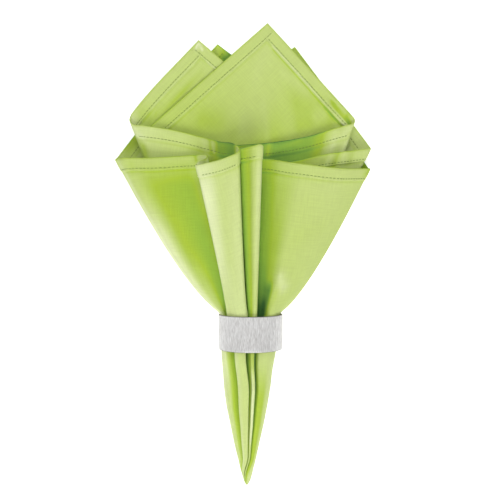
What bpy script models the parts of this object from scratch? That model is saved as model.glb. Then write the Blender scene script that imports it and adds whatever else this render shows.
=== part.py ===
import math
from collections import namedtuple

import bmesh
import bpy
import numpy as np

# A square cotton napkin drawn by its middle through a metal ring. It lies on its back on the
# table: the middle of the cloth is the tip of the tail at -Y, the four hemmed corners are the
# fan at +Y, and the table is z = 0. Sizes are in millimetres and turned to metres at the end.

MM = 0.001

CLOTH_THICKNESS = 1.0
TABLE_GAP = 0.5 * CLOTH_THICKNESS
SETTLED = 0.3 * CLOTH_THICKNESS
COLUMN_STEP = 26.0
FOLD_STEPS = 4

RING_OUTER_RADIUS = 24.0
RING_WALL = 1.5
RING_EDGE_ROUND = 0.6
RING_TOP_Y = -48.0
RING_LENGTH = 26.0
RING_CENTRE_X = 0.4
RING_SIDES = 64
RING_EDGE_STEPS = 3

# The gathered cloth leaves the ring this far past its rims, and past the lower one it
# takes a length to sink to the table and another to close up to the tail's section
RIM_CLEARANCE = 1.5
SINK_LENGTH = 18.0
TAIL_SECTION_Y = -118.0
RING_FOOT_Y = RING_TOP_Y - RING_LENGTH
FAN_START_Y = RING_TOP_Y + RIM_CLEARANCE
TAIL_START_Y = RING_FOOT_Y - RIM_CLEARANCE

# The ring and tail columns of the fold table are drawn in rounds of these radii
RING_SECTION_RADIUS = 21.3
TAIL_SECTION_RADIUS = 13.0

# Shares of the way from the ring to the hem at which the fan has a row of points
FAN_ROWS = (0.0, 0.03, 0.08, 0.16, 0.28, 0.42, 0.57, 0.72, 0.87, 1.0)
TAIL_ROWS_Y = (RING_TOP_Y - 8.0, TAIL_START_Y, -86.0, -98.0, -110.0, -122.0, -130.0, -136.0)

# Past the last row the cloth is wrung so tight that its layers are one
TIP_ROWS_Y = (-129.0, -136.0, -143.0, -151.0, -160.0, -168.0, -175.0, -180.0)
TIP_Y = -182.5
TIP_HEIGHT = 1.2
TIP_COLUMNS = 40
TIP_PROUD = 0.8
TIP_PROUD_SHARE = 0.15

# How wide the gathered cloth is, half across, and where its middle lies
Girth = namedtuple("Girth", "y radius centre_x")
GIRTHS = (
    Girth(FAN_START_Y, 21.3, 0.2),
    Girth(TAIL_START_Y, 20.4, -0.8),
    Girth(-90.0, 18.9, -1.6),
    Girth(-104.0, 17.5, -2.1),
    Girth(-119.0, 15.3, -2.1),
    Girth(-132.5, 12.7, -2.4),
    Girth(-147.0, 9.6, -2.3),
    Girth(-160.0, 6.6, -2.1),
    Girth(-171.5, 3.7, -2.0),
    Girth(-179.0, 1.8, -1.9),
    Girth(TIP_Y, 0.4, -1.9),
)

# One row for each fold, corner or soft turn of the cloth, in the order met along its hem.
# A left or right fold turns the cloth back on itself from height z_in to height z_out.
# The hem columns are where the row ends at the hem, the ring columns where it passes the
# ring, and the tail columns where it passes the middle of the tail, both from the bundle's
# centre. The spread sets how early the row fans out, and the drop how early it sinks.
Fold = namedtuple(
    "Fold",
    "name kind hem_x hem_y hem_in hem_out ring_x ring_in ring_out tail_x tail_in tail_out spread drop",
)
FOLDS = (
    Fold("corner a", "corner", -40.0, 163.2, 6.2, 6.2, -6.0, -8.2, -8.2, -2.0, -4.0, -4.0, 0.80, 3.0),
    Fold("a to l2", "left", -93.1, 100.1, 6.4, 12.8, -16.6, -6.8, -0.6, -10.0, -3.2, 0.4, 0.74, 2.6),
    Fold("l2 middle", "soft", -58.0, 91.5, 14.8, 14.8, -12.0, 5.3, 5.3, -5.0, 3.4, 3.4, 0.80, 2.2),
    Fold("l2 right", "soft", -22.0, 82.0, 19.5, 19.5, -5.5, 12.0, 12.0, -1.8, 6.0, 6.0, 0.95, 2.2),
    Fold("l2 lip", "soft", -13.0, 79.6, 26.5, 26.5, -3.4, 14.0, 14.0, 0.2, 9.2, 9.2, 1.00, 1.8),
    Fold("loop", "right", -8.0, 73.5, 30.5, 37.0, -1.0, 16.3, 20.6, 2.0, 10.9, 12.6, 1.00, 1.3),
    Fold("p1 crest", "soft", -22.0, 66.0, 38.8, 38.8, -8.0, 19.7, 19.7, -1.6, 12.9, 12.9, 1.05, 1.3),
    Fold("p1 edge", "left", -39.9, 63.1, 35.4, 31.0, -16.4, 14.0, 12.2, -5.6, 11.6, 10.0, 1.10, 1.3),
    Fold("p1 tuck", "right", -32.0, 71.0, 26.0, 22.4, -13.4, 10.2, 8.0, -3.2, 8.6, 7.0, 1.06, 1.3),
    Fold("l1 low", "soft", -52.0, 71.4, 23.0, 23.0, -17.4, 6.8, 6.8, -6.6, 6.6, 6.6, 0.95, 1.3),
    Fold("l1 crest", "soft", -86.0, 68.2, 26.0, 26.0, -19.8, 7.2, 7.2, -9.6, 8.4, 8.4, 0.82, 1.3),
    Fold("l1 to b", "left side", -104.3, 70.8, 13.0, 1.0, -21.2, 2.0, -5.0, -12.9, 1.5, -1.5, 0.80, 2.0),
    Fold("b left", "soft", -95.0, 81.5, -0.4, -0.4, -16.8, -13.0, -13.0, -9.6, -8.7, -8.7, 0.80, 12.0),
    Fold("corner b", "corner", -25.5, 161.7, -0.4, -0.4, -1.0, -21.2, -21.2, 0.0, -13.0, -13.0, 0.80, 12.0),
    Fold("b right", "soft", 84.0, 70.3, -0.4, -0.4, 16.8, -13.0, -13.0, 9.6, -8.7, -8.7, 0.80, 12.0),
    Fold("b to r1", "right side", 92.5, 63.2, 1.0, 16.0, 21.2, -5.0, 3.6, 12.9, -1.5, 1.5, 0.80, 2.0),
    Fold("r1 swell", "soft", 70.0, 61.1, 26.0, 26.0, 19.0, 9.4, 9.4, 11.0, 6.7, 6.7, 0.82, 1.3),
    Fold("r1 crest", "soft", 42.0, 63.6, 31.0, 31.0, 12.8, 16.9, 16.9, 8.9, 8.7, 8.7, 0.95, 1.3),
    Fold("r1 dip", "soft", 15.0, 69.4, 22.5, 22.5, 8.6, 10.6, 10.6, 7.2, 6.0, 6.0, 1.00, 1.3),
    Fold("r1 tuck", "left", 2.0, 71.0, 18.6, 23.0, 3.2, 9.0, 13.0, 4.6, 5.0, 7.0, 1.00, 1.3),
    Fold("p2 edge", "right", 9.1, 76.4, 35.6, 40.0, 6.1, 16.4, 20.2, 6.3, 9.4, 11.3, 1.00, 1.3),
    Fold("p2 left", "soft", -5.6, 75.6, 31.5, 31.5, 0.9, 17.0, 17.0, 3.8, 9.9, 9.9, 1.00, 1.3),
    Fold("under loop", "soft", -17.0, 76.8, 17.6, 17.6, -1.8, 11.0, 11.0, 1.8, 6.9, 6.9, 1.00, 1.8),
    Fold("under l2", "soft", -50.0, 84.0, 12.0, 12.0, -7.5, 5.2, 5.2, -2.2, 2.6, 2.6, 0.85, 2.2),
    Fold("back to c", "left", -79.7, 92.1, 11.2, 8.4, -11.0, 0.2, -3.2, -6.2, 0.0, -1.7, 0.74, 2.6),
    Fold("corner c", "corner", 13.6, 175.7, 8.2, 8.2, 1.0, -3.4, -3.4, 0.5, -1.4, -1.4, 0.75, 3.0),
    Fold("c to r3", "right", 81.0, 99.7, 8.2, 12.4, 12.0, -3.8, -0.2, 7.0, -1.6, 0.2, 0.70, 2.6),
    Fold("r3 middle", "soft", 46.0, 87.4, 14.6, 14.6, 7.0, 1.4, 1.4, 3.6, 0.9, 0.9, 0.80, 2.2),
    Fold("r3 to r2", "left", -16.0, 80.0, 11.4, 14.4, -3.5, 0.8, 4.4, 0.4, 0.6, 2.5, 0.95, 2.2),
    Fold("r2 low", "soft", 26.0, 62.5, 17.4, 17.4, 5.0, 5.2, 5.2, 4.4, 3.1, 3.1, 0.90, 2.2),
    Fold("r2 turn", "soft", 58.0, 72.6, 20.5, 20.5, 11.0, 4.4, 4.4, 7.2, 2.9, 2.9, 0.80, 2.0),
    Fold("r2 to d", "right", 92.2, 79.2, 13.4, 4.2, 16.2, 0.6, -7.4, 10.0, 1.0, -4.2, 0.78, 2.6),
    Fold("corner d", "corner", 35.1, 159.1, 2.2, 2.2, 10.0, -15.4, -15.4, 6.0, -8.6, -8.6, 0.75, 3.0),
    Fold("d to pleat", "left", -40.0, 103.0, 2.2, 4.2, -11.6, -15.4, -12.6, -6.2, -8.5, -6.5, 0.80, 3.0),
    Fold("pleat to a", "right", 40.0, 94.0, 4.4, 6.4, 9.4, -12.0, -9.0, 4.6, -6.2, -4.3, 0.80, 3.0),
)
FOLD_REACH = {"hem": 4.0, "ring": 3.0, "tail": 2.2}
SIDE_REACH = {"hem": 4.0, "ring": 0.4, "tail": 0.2}

# The creases that run down the wrung tip, by their angle round it and their width in
# degrees, and their depth as a share of its radius
Crease = namedtuple("Crease", "angle depth width")
TIP_CREASES = (
    Crease(43.0, 0.42, 11.0),
    Crease(74.0, 0.20, 7.0),
    Crease(132.0, 0.30, 12.0),
)

NAPKIN_GREEN = (0.46, 0.62, 0.12, 1.0)
RING_SILVER = (0.72, 0.70, 0.69, 1.0)
SHARP_ANGLE = 40.0


def clear_scene():
    for obj in list(bpy.data.objects):
        bpy.data.objects.remove(obj, do_unlink=True)


def principled(name, colour, roughness, metallic):
    material = bpy.data.materials.new(name)
    material.use_nodes = True
    shader = material.node_tree.nodes["Principled BSDF"]
    shader.inputs["Base Color"].default_value = colour
    shader.inputs["Roughness"].default_value = roughness
    shader.inputs["Metallic"].default_value = metallic
    return material


def face_outwards(mesh):
    shell = bmesh.new()
    shell.from_mesh(mesh)
    bmesh.ops.recalc_face_normals(shell, faces=shell.faces)
    shell.to_mesh(mesh)
    shell.free()


def add_object(name, points, faces, material):
    # A closed body from its points in millimetres, smooth except at its sharp edges
    mesh = bpy.data.meshes.new(name)
    mesh.from_pydata(np.asarray(points) * MM, [], faces)
    mesh.materials.append(material)
    face_outwards(mesh)
    mesh.shade_smooth()
    mesh.set_sharp_from_angle(angle=math.radians(SHARP_ANGLE))
    obj = bpy.data.objects.new(name, mesh)
    bpy.context.scene.collection.objects.link(obj)
    return obj


def eased(share):
    # From 0 to 1 with a soft start and end
    share = np.clip(share, 0.0, 1.0)
    return share * share * (3.0 - 2.0 * share)


def row_point(fold, section, height):
    # A row's place in one section, x and z from the section's own origin
    if section == "hem":
        return np.array([fold.hem_x, fold.hem_y, height])
    return np.array([getattr(fold, section + "_x"), 0.0, height])


def fold_points(fold, section):
    # Half an ellipse around a fold, or the one point of a corner or soft turn
    z_in = getattr(fold, section + "_in")
    z_out = getattr(fold, section + "_out")
    if fold.kind in ("corner", "soft"):
        return row_point(fold, section, z_in)[None, :]
    side = 1.0 if fold.kind.startswith("left") else -1.0
    half = 0.5 * (z_out - z_in)
    limits = SIDE_REACH if fold.kind.endswith("side") else FOLD_REACH
    reach = min(abs(half), limits[section])
    turn = np.linspace(-0.5 * math.pi, 0.5 * math.pi, FOLD_STEPS + 1)
    points = np.repeat(row_point(fold, section, 0.5 * (z_in + z_out))[None, :], len(turn), axis=0)
    points[:, 0] += side * reach * (1.0 - np.cos(turn))
    points[:, 2] += half * np.sin(turn)
    return points


def slope_at(before, here, after):
    # The direction of travel through a soft turn, fair to a long and a short side
    back = np.linalg.norm(here - before)
    forth = np.linalg.norm(after - here)
    return (here - before) / back - (after - before) / (back + forth) + (after - here) / forth


def span_points(before, start, end, after, count):
    # A smooth cubic from one row to the next, without its ends
    chord = end - start
    length = np.linalg.norm(chord)
    leave = chord if before is None else slope_at(before, start, end) * length
    arrive = chord if after is None else slope_at(start, end, after) * length
    t = (np.arange(1, count + 1) / (count + 1))[:, None]
    return (
        (2 * t**3 - 3 * t**2 + 1) * start
        + (t**3 - 2 * t**2 + t) * leave
        + (3 * t**2 - 2 * t**3) * end
        + (t**3 - t**2) * arrive
    )


def column_counts():
    # Points between neighbouring rows, shared by all the sections
    ends = [np.array([fold.hem_x, fold.hem_y, fold.hem_out]) for fold in FOLDS]
    starts = [np.array([fold.hem_x, fold.hem_y, fold.hem_in]) for fold in FOLDS]
    gaps = [np.linalg.norm(starts[(k + 1) % len(FOLDS)] - ends[k]) for k in range(len(FOLDS))]
    return [max(1, int(round(gap / COLUMN_STEP)) - 1) for gap in gaps]


def section_curve(section, counts):
    # The whole closed curve of one section, with its spread and drop at each point
    anchors = [fold_points(fold, section) for fold in FOLDS]
    total = len(FOLDS)
    smooth = ("soft",) if section == "hem" else ("soft", "corner")
    places, settings = [], []
    for k, fold in enumerate(FOLDS):
        following = (k + 1) % total
        ahead = FOLDS[following]
        places.append(anchors[k])
        settings.append(np.tile([fold.spread, fold.drop], (len(anchors[k]), 1)))
        before = anchors[k - 1][-1] if fold.kind in smooth else None
        after = anchors[(k + 2) % total][0] if ahead.kind in smooth else None
        inner = span_points(before, anchors[k][-1], anchors[following][0], after, counts[k])
        places.append(inner)
        share = (np.arange(1, counts[k] + 1) / (counts[k] + 1))[:, None]
        own = np.array([fold.spread, fold.drop])
        other = np.array([ahead.spread, ahead.drop])
        settings.append(own + (other - own) * eased(share))
    return np.concatenate(places), np.concatenate(settings)


def girth_at(y):
    ys = [-girth.y for girth in GIRTHS]
    radius = np.interp(-y, ys, [girth.radius for girth in GIRTHS])
    centre_x = np.interp(-y, ys, [girth.centre_x for girth in GIRTHS])
    return radius, centre_x


def bundle_height(y, radius):
    # The ring holds the bundle up, and past it the tail sinks to the table
    held = RING_OUTER_RADIUS
    lying = radius + TABLE_GAP
    return held + (lying - held) * eased((TAIL_START_Y - y) / SINK_LENGTH)


def bundle_row(y, ring_curve, tail_curve):
    # The gathered section at one place along the ring or the tail
    radius, centre_x = girth_at(y)
    share = eased((TAIL_START_Y - y) / (TAIL_START_Y - TAIL_SECTION_Y))
    ring_part = (1.0 - share) * ring_curve / RING_SECTION_RADIUS
    tail_part = share * tail_curve / TAIL_SECTION_RADIUS
    row = radius * (ring_part + tail_part)
    row[:, 0] += centre_x
    row[:, 1] = y
    row[:, 2] += bundle_height(y, radius)
    return row


def fan_row(share, start, hem, settings):
    # Each point runs from its place in the ring to its place on the hem
    spread = share ** settings[:, 0]
    drop = 1.0 - (1.0 - share) ** settings[:, 1]
    row = start.copy()
    row[:, 0] += (hem[:, 0] - start[:, 0]) * spread
    row[:, 1] += (hem[:, 1] - start[:, 1]) * share
    row[:, 2] += (hem[:, 2] - start[:, 2]) * drop
    row[:, 2] = np.maximum(row[:, 2], TABLE_GAP)
    return row


def cloth_surface():
    # Rows from the hem down through the ring to the end of the tail
    counts = column_counts()
    hem, settings = section_curve("hem", counts)
    ring_curve, _ = section_curve("ring", counts)
    tail_curve, _ = section_curve("tail", counts)
    start = bundle_row(FAN_START_Y, ring_curve, tail_curve)
    rows = [fan_row(share, start, hem, settings) for share in reversed(FAN_ROWS)]
    rows += [bundle_row(y, ring_curve, tail_curve) for y in TAIL_ROWS_Y]
    return np.array(rows)


def surface_normals(rows):
    across = np.roll(rows, -1, axis=1) - np.roll(rows, 1, axis=1)
    along = np.gradient(rows, axis=0)
    normal = np.cross(across, along)
    return normal / np.linalg.norm(normal, axis=2, keepdims=True)


def sheet_solid(rows):
    # Two skins half a thickness either side, closed at the hem and at the tail's end.
    # What comes as near as SETTLED to the table lies flat on it.
    normal = surface_normals(rows)
    skins = [rows + 0.5 * CLOTH_THICKNESS * normal, rows - 0.5 * CLOTH_THICKNESS * normal]
    height, width = rows.shape[:2]
    points = np.concatenate([skin.reshape(-1, 3) for skin in skins])
    points[points[:, 2] < SETTLED, 2] = 0.0
    size = height * width
    faces = []
    for row in range(height - 1):
        for column in range(width):
            beside = (column + 1) % width
            a = row * width + column
            b = row * width + beside
            c = (row + 1) * width + beside
            d = (row + 1) * width + column
            faces.append((a, b, c, d))
            faces.append((size + d, size + c, size + b, size + a))
    for column in range(width):
        beside = (column + 1) % width
        last = (height - 1) * width
        faces.append((column, size + column, size + beside, beside))
        faces.append((last + column, last + beside, size + last + beside, size + last + column))
    return points, faces


def tip_row(y):
    # A round section, dented at the creases, a little inside the cloth where it starts
    radius, centre_x = girth_at(y)
    start, clear = TIP_ROWS_Y[:2]
    proud = min(np.interp(-y, (-start, -clear), (0.0, TIP_PROUD)), TIP_PROUD_SHARE * radius)
    angle = np.linspace(0.0, 2.0 * math.pi, TIP_COLUMNS, endpoint=False)
    reach = np.full(TIP_COLUMNS, radius + proud)
    for crease in TIP_CREASES:
        apart = (angle - math.radians(crease.angle)) / math.radians(crease.width)
        reach *= 1.0 - crease.depth * np.exp(-(apart**2))
    row = np.zeros((TIP_COLUMNS, 3))
    row[:, 0] = centre_x + reach * np.cos(angle)
    row[:, 1] = y
    row[:, 2] = np.maximum(bundle_height(y, radius) + reach * np.sin(angle), 0.0)
    return row


def tip_solid():
    # The rows closed by a flat end inside the cloth and a point at the tip
    rows = [tip_row(y) for y in TIP_ROWS_Y]
    points = np.concatenate(rows + [[[GIRTHS[-1].centre_x, TIP_Y, TIP_HEIGHT]]])
    width = TIP_COLUMNS
    last = (len(rows) - 1) * width
    faces = [tuple(range(width))]
    for column in range(width):
        beside = (column + 1) % width
        for row in range(0, last, width):
            faces.append((row + column, row + beside, row + width + beside, row + width + column))
        faces.append((last + column, last + beside, len(points) - 1))
    return points, faces


def build_napkin(material):
    # One sheet of cloth, with the wrung tip joined on
    points, faces = sheet_solid(cloth_surface())
    napkin = add_object("napkin", points, faces, material)
    points, faces = tip_solid()
    tip = add_object("wrung tip", points, faces, material)
    tip.hide_render = True
    tip.display_type = "WIRE"
    union = napkin.modifiers.new("tip", "BOOLEAN")
    union.operation = "UNION"
    union.solver = "EXACT"
    union.object = tip
    return napkin


def ring_profile():
    # The band's section as radius and y, its four edges rounded
    inner = RING_OUTER_RADIUS - RING_WALL
    corners = (
        (RING_OUTER_RADIUS, RING_TOP_Y, 0.0),
        (inner, RING_TOP_Y, 0.5 * math.pi),
        (inner, RING_FOOT_Y, math.pi),
        (RING_OUTER_RADIUS, RING_FOOT_Y, 1.5 * math.pi),
    )
    middle_radius = RING_OUTER_RADIUS - 0.5 * RING_WALL
    middle_y = RING_TOP_Y - 0.5 * RING_LENGTH
    points = []
    for radius, y, start in corners:
        centre_radius = radius + math.copysign(RING_EDGE_ROUND, middle_radius - radius)
        centre_y = y + math.copysign(RING_EDGE_ROUND, middle_y - y)
        for step in range(RING_EDGE_STEPS + 1):
            angle = start + 0.5 * math.pi * step / RING_EDGE_STEPS
            out = RING_EDGE_ROUND * math.cos(angle)
            up = RING_EDGE_ROUND * math.sin(angle)
            points.append((centre_radius + out, centre_y + up))
    return points


def build_ring(material):
    # Turned about its own axis, with one flat side of the many down on the table
    profile = ring_profile()
    flat = 1.0 / math.cos(math.pi / RING_SIDES)
    points, faces = [], []
    for side in range(RING_SIDES):
        angle = -0.5 * math.pi + (side + 0.5) * 2.0 * math.pi / RING_SIDES
        for radius, y in profile:
            x = RING_CENTRE_X + radius * flat * math.cos(angle)
            z = RING_OUTER_RADIUS + radius * flat * math.sin(angle)
            points.append((x, y, z))
    count = len(profile)
    for side in range(RING_SIDES):
        here = side * count
        after = (side + 1) % RING_SIDES * count
        for k in range(count):
            beside = (k + 1) % count
            faces.append((here + k, here + beside, after + beside, after + k))
    return add_object("ring", points, faces, material)


def main():
    clear_scene()
    cotton = principled("green cotton", NAPKIN_GREEN, 0.85, 0.0)
    metal = principled("brushed steel", RING_SILVER, 0.35, 1.0)
    build_napkin(cotton)
    build_ring(metal)


main()
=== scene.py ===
import math
from collections import namedtuple

import bmesh
import bpy
import numpy as np
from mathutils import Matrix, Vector


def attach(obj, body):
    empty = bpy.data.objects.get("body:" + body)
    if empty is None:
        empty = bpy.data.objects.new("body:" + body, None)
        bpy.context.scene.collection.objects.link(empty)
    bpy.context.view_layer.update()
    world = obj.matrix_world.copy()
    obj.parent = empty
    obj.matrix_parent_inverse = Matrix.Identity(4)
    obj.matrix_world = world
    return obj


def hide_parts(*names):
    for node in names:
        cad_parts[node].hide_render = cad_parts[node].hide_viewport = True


# A square cotton napkin pulled by its middle through a brushed metal ring. It lies on its
# back: the fan of four corners is at +Y, the pointed tail at -Y, the table is z = 0.
# Tables and dictionaries are in millimetres, and mm turns them into metres.

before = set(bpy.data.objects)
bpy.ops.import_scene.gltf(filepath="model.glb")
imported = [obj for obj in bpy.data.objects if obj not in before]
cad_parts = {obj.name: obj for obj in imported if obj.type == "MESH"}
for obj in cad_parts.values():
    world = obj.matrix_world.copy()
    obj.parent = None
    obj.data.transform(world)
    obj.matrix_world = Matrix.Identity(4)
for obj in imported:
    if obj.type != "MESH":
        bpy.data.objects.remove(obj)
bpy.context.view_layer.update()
mm = 0.001


def eased(share):  # 0 to 1 with a soft start and end: 3 s^2 - 2 s^3
    share = np.clip(share, 0.0, 1.0)
    return share * share * (3.0 - 2.0 * share)


def hexColour(text):  # sRGB hex to linear RGBA
    parts = [int(text[k:k + 2], 16) / 255.0 for k in (1, 3, 5)]
    return tuple(c / 12.92 if c <= 0.04045 else ((c + 0.055) / 1.055) ** 2.4 for c in parts) + (1.0,)


def addNode(tree, kind, inputs=(), **settings):
    # inputs gives each socket a value, an output to link, or a node whose first output is linked
    node = tree.nodes.new("ShaderNode" + kind)
    for name, value in settings.items():
        setattr(node, name, value)
    for socket, source in dict(inputs).items():
        source = source.outputs[0] if hasattr(source, "outputs") else source
        if hasattr(source, "is_linked"):
            tree.links.new(source, node.inputs[socket])
        else:
            node.inputs[socket].default_value = source
    return node


def newMaterial(name):
    material = bpy.data.materials.new(name)
    material.use_nodes = True
    return material, material.node_tree, material.node_tree.nodes["Principled BSDF"]


def gridMesh(name, points, faces, material, uv=None, bloom=None):
    # points is a grid of places in millimetres, each face a row of point numbers, uv and
    # bloom (painted light and shade) one for each point. Points that no face uses are left out.
    used, corners = np.unique(faces, return_inverse=True)
    mesh = bpy.data.meshes.new(name)
    mesh.vertices.add(len(used))
    mesh.vertices.foreach_set("co", (points.reshape(-1, 3)[used] * mm).astype(np.float32).ravel())
    mesh.loops.add(faces.size)
    mesh.loops.foreach_set("vertex_index", corners.astype(np.int32).ravel())
    mesh.polygons.add(len(faces))
    starts = np.arange(0, faces.size, faces.shape[1], dtype=np.int32)
    mesh.polygons.foreach_set("loop_start", starts)
    mesh.update(calc_edges=True)
    if uv is not None:
        flat = mesh.uv_layers.new(name="flat cloth")
        flat.data.foreach_set("uv", uv.reshape(-1, 2)[faces.ravel()].ravel())
    # painted light and shade, one value a point
    if bloom is not None:
        tone = mesh.attributes.new("bloom", "FLOAT", "POINT")
        tone.data.foreach_set("value", bloom.astype(np.float32).ravel()[used])
    mesh.validate()
    mesh.shade_smooth()
    mesh.materials.append(material)
    obj = bpy.data.objects.new(name, mesh)
    bpy.context.scene.collection.objects.link(obj)
    return obj


def turnOutwards(obj):  # every face points away from the inside
    shell = bmesh.new()
    shell.from_mesh(obj.data)
    bmesh.ops.recalc_face_normals(shell, faces=shell.faces)
    shell.to_mesh(obj.data)
    shell.free()


def unitVectors(vectors):  # each divided by its own length
    return vectors / np.maximum(np.linalg.norm(vectors, axis=-1, keepdims=True), 1e-9)


def turnedBy(x, y, angle):  # x cos a - y sin a, x sin a + y cos a
    return x * np.cos(angle) - y * np.sin(angle), x * np.sin(angle) + y * np.cos(angle)


def bell(distance, width):  # exp(-(distance / width)^2)
    return np.exp(-((distance / width) ** 2))


# The napkin's cloth

napkin = {
    "side": 508,  # cut size after hemming
    "thickness": 0.5,
    "tableGap": 0.5,  # from the table to the cloth's middle surface
    "lowest": 0.05,  # and to its skin
    "hemWidth": 9.3,
    "hemExtra": 0.55,  # how far the turned hem stands out
    "hemStep": (0.3, 0.9),  # it sinks from this far before its inner edge, over this width
    "rimRound": 0.8,  # from the folded edge to full thickness
    "stitchInset": 8,
    "stitchDent": (0.18, 0.7),  # depth of the groove along the stitches, and half its width
    "edgeShade": (-0.8, 0.7),  # painted shade darkens the hem's outer edge, this wide
    "stepShade": (-0.3, 1.2, 0.9),  # and painted shade this far past its inner edge, this wide
    "turn": 5,  # how long a fold's turn is in plan at the hem
    "clothInTurn": 2.5,  # cloth taken up by half a fold's turn
    "foldSteps": 8,
    "pucker": 0.22,  # height of the seam's small waves in the hem
    "puckerWidth": 16,
    "puckerStretch": 0.3,  # they run long across the hem
    "puckerWaves": (5, 6, 0.55, 0.95),  # seed, number of sines, least and most radians a mm
    "billow": 0.45,  # height of the cloth's broad waves
    "billowWaves": (8, 6, 0.09, 0.2),
    "billowFade": (90, 40),  # they fade from this inset on, over this length
    "visibleStep": 2.6,  # between columns where the cloth shows, and where it doesn't
    "hiddenStep": 4,
    "hemRows": (0, 0.25, 0.8, 2.2, 4.2, 6.2, 7.4, 8, 8.6, 9.1, 9.6, 10.2, 10.9, 11.9, 14),
    "fanRows": (17.5, 130, 30),  # first and last inset, and how many rows
    "tailRows": (134, 253.6, 27),
    "fanSteps": (160, 1.15),  # steps that measure a column's length, closer near the ring
    "bundleSteps": 140,
    "gatherDepth": 0.6,  # of the small crimps inside the ring and the tail
    "gatherColumns": 4,  # columns in one crimp
    "gatherTop": (-12, 40),  # y where the crimps start, and over how far they deepen
    "gatherTip": (-182, 60),  # y where they end, and over how far they fade
    "fanStart": -46.5,
    "tailStart": -75.5,  # where the bundle starts to sink to the table
    "blendStart": -47.5,  # from here the section changes from the ring's upper rim to its lower
    "exitSection": -74,
    "tailSection": -106,
    "twistStart": -158,  # the tip is twisted to the left
    "twistLength": 24,
    "twist": 1.05,
    "tip": (253.9, 30, 0.04),  # inset where the skins meet, length of their taper, least share
    "tipRun": 136,  # from fanStart to the tip
    "sinkLength": 18,
    "ringHeight": 24,
    "ringRound": 21.3,
    "tailRound": 13,
}
halfSide = 0.5 * napkin["side"]
rimLength = 4.0 * napkin["side"]

# Half the width of the gathered bundle and the place of its middle, by y
girths = np.array([
    (-46.5, 22, 0.2), (-75.5, 20.4, -1), (-90, 18.7, -1.8), (-104, 17.5, -2.1),
    (-119, 15.4, -2.4), (-132.5, 12.8, -2.3), (-147, 9.9, -2.5), (-160, 7.2, -2.4),
    (-168, 5.5, -2.3), (-179.3, 2.8, -2.4), (-182.4, 1.7, -2.4), (-184, 0.6, -2.4),
])
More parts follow.
